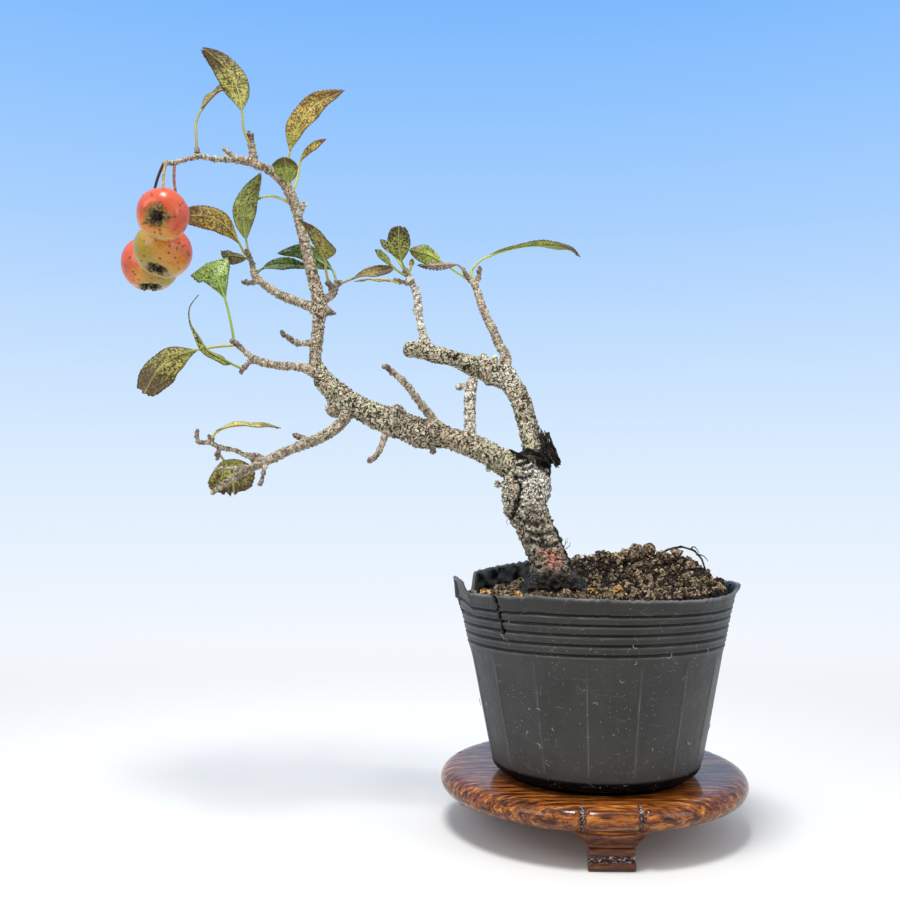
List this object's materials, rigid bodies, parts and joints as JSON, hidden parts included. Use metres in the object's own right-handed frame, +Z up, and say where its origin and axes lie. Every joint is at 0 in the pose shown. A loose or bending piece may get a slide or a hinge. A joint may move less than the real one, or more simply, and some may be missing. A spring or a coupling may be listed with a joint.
{
  "type": "hawthorn bonsai",
  "caption": "Small leaning hawthorn bonsai with hanging fruits, in a ribbed nursery pot of soil, on a round footed wooden stand.",
  "frame": {"origin": "centre of the whole part's box, on the surface that the stand's feet rest on", "axes": "+Z up; +X to the right and -Y towards the viewer, who sees the crown lean to the left, to -X"},
  "size_m": [0.2114, 0.1026, 0.2586],
  "materials": {
    "stand": "glossy dark reddish brown lacquer over open grain",
    "pot": "thin black polyethylene with a soft sheen, scuffed",
    "soil": "dark brown crumb with a few tan pebbles",
    "bark": "rough grey bark with pale lichen, black where torn",
    "leaf_green": "satin leaf, mottled with brown",
    "leaf_dark": "glossy dark green leaf",
    "leaf_brown": "autumn leaf, olive to brown, spotted",
    "leaf_yellow": "yellowing leaf with green veins",
    "fruit": "glossy red-orange skin, yellow-green below, with small dark dots"
  },
  "bodies": {
    "root": {"stand_board": "stand", "stand_foot_1": "stand", "stand_foot_2": "stand", "stand_foot_3": "stand", "pot": "pot", "soil": "soil", "trunk": "bark", "leaf_top": "leaf_green", "leaf_top_narrow": "leaf_brown", "leaf_upper_right": "leaf_brown", "leaf_cupped": "leaf_green", "leaf_small_upper": "leaf_brown", "leaf_hidden": "leaf_green", "leaf_knot_yellow": "leaf_yellow", "leaf_knot_upright": "leaf_green", "leaf_knot_small": "leaf_dark", "leaf_knot_glossy": "leaf_dark", "leaf_spur_dark": "leaf_dark", "leaf_spur_triangle": "leaf_yellow", "leaf_spur_mottled": "leaf_brown", "leaf_shoot_thin": "leaf_yellow", "leaf_shoot_upright": "leaf_dark", "leaf_shoot_narrow": "leaf_green", "leaf_shoot_dark": "leaf_dark", "leaf_shoot_tiny": "leaf_yellow", "leaf_right_green": "leaf_green", "leaf_right_dry": "leaf_brown", "leaf_right_long": "leaf_green", "leaf_left_big": "leaf_green", "leaf_left_tall": "leaf_green", "leaf_left_curled": "leaf_dark", "leaf_lower_arch": "leaf_yellow", "leaf_lower_hanging": "leaf_yellow", "fruit_front": "fruit", "fruit_middle": "fruit", "fruit_back": "fruit"}
  },
  "joints": []
}
